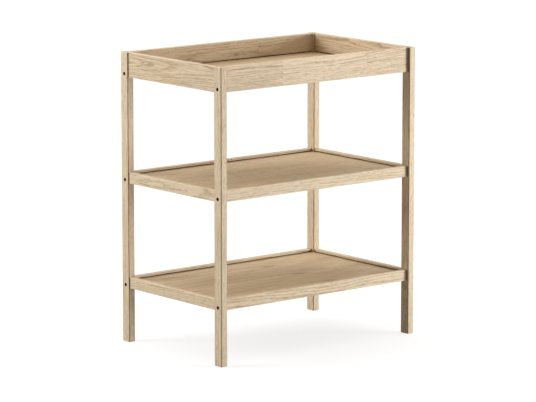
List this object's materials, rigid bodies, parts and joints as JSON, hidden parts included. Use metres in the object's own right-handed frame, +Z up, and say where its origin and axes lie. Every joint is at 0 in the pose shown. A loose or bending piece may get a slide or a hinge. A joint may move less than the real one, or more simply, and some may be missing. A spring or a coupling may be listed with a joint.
{
  "type": "changing table",
  "caption": "Open wooden changing table: plain posts at the corners carry a raised tray with a rim all round, above open shelves with low rims.",
  "frame": {"origin": "on the floor under the middle of the table, centred between the four posts", "axes": "+X along the long side to the right, +Y from the front to the back, +Z up"},
  "size_m": [0.74, 0.473, 0.87],
  "materials": {
    "oak": "matt clear lacquer on solid oak",
    "oak_panel": "matt clear lacquer on oak-faced board",
    "black_steel": "black oxide, slightly oily",
    "zinc_steel": "bright zinc plate",
    "beech": "raw fluted beech"
  },
  "bodies": {
    "root": {"front_left_post": "oak", "front_right_post": "oak", "rear_left_post": "oak", "rear_right_post": "oak", "tray_front_rail": "oak", "tray_rear_rail": "oak", "tray_left_rail": "oak", "tray_right_rail": "oak", "middle_front_rail": "oak", "middle_rear_rail": "oak", "middle_left_rail": "oak", "middle_right_rail": "oak", "lower_front_rail": "oak", "lower_rear_rail": "oak", "lower_left_rail": "oak", "lower_right_rail": "oak", "tray_panel": "oak_panel", "middle_panel": "oak_panel", "lower_panel": "oak_panel", "tray_front_left_bolt": "black_steel", "tray_front_left_barrel_nut": "zinc_steel", "tray_front_left_dowel": "beech", "tray_front_right_bolt": "black_steel", "tray_front_right_barrel_nut": "zinc_steel", "tray_front_right_dowel": "beech", "tray_rear_left_bolt": "black_steel", "tray_rear_left_barrel_nut": "zinc_steel", "tray_rear_left_dowel": "beech", "tray_rear_right_bolt": "black_steel", "tray_rear_right_barrel_nut": "zinc_steel", "tray_rear_right_dowel": "beech", "middle_front_left_bolt": "black_steel", "middle_front_left_barrel_nut": "zinc_steel", "middle_front_left_dowel": "beech", "middle_front_right_bolt": "black_steel", "middle_front_right_barrel_nut": "zinc_steel", "middle_front_right_dowel": "beech", "middle_rear_left_bolt": "black_steel", "middle_rear_left_barrel_nut": "zinc_steel", "middle_rear_left_dowel": "beech", "middle_rear_right_bolt": "black_steel", "middle_rear_right_barrel_nut": "zinc_steel", "middle_rear_right_dowel": "beech", "lower_front_left_bolt": "black_steel", "lower_front_left_barrel_nut": "zinc_steel", "lower_front_left_dowel": "beech", "lower_front_right_bolt": "black_steel", "lower_front_right_barrel_nut": "zinc_steel", "lower_front_right_dowel": "beech", "lower_rear_left_bolt": "black_steel", "lower_rear_left_barrel_nut": "zinc_steel", "lower_rear_left_dowel": "beech", "lower_rear_right_bolt": "black_steel", "lower_rear_right_barrel_nut": "zinc_steel", "lower_rear_right_dowel": "beech"}
  },
  "joints": []
}
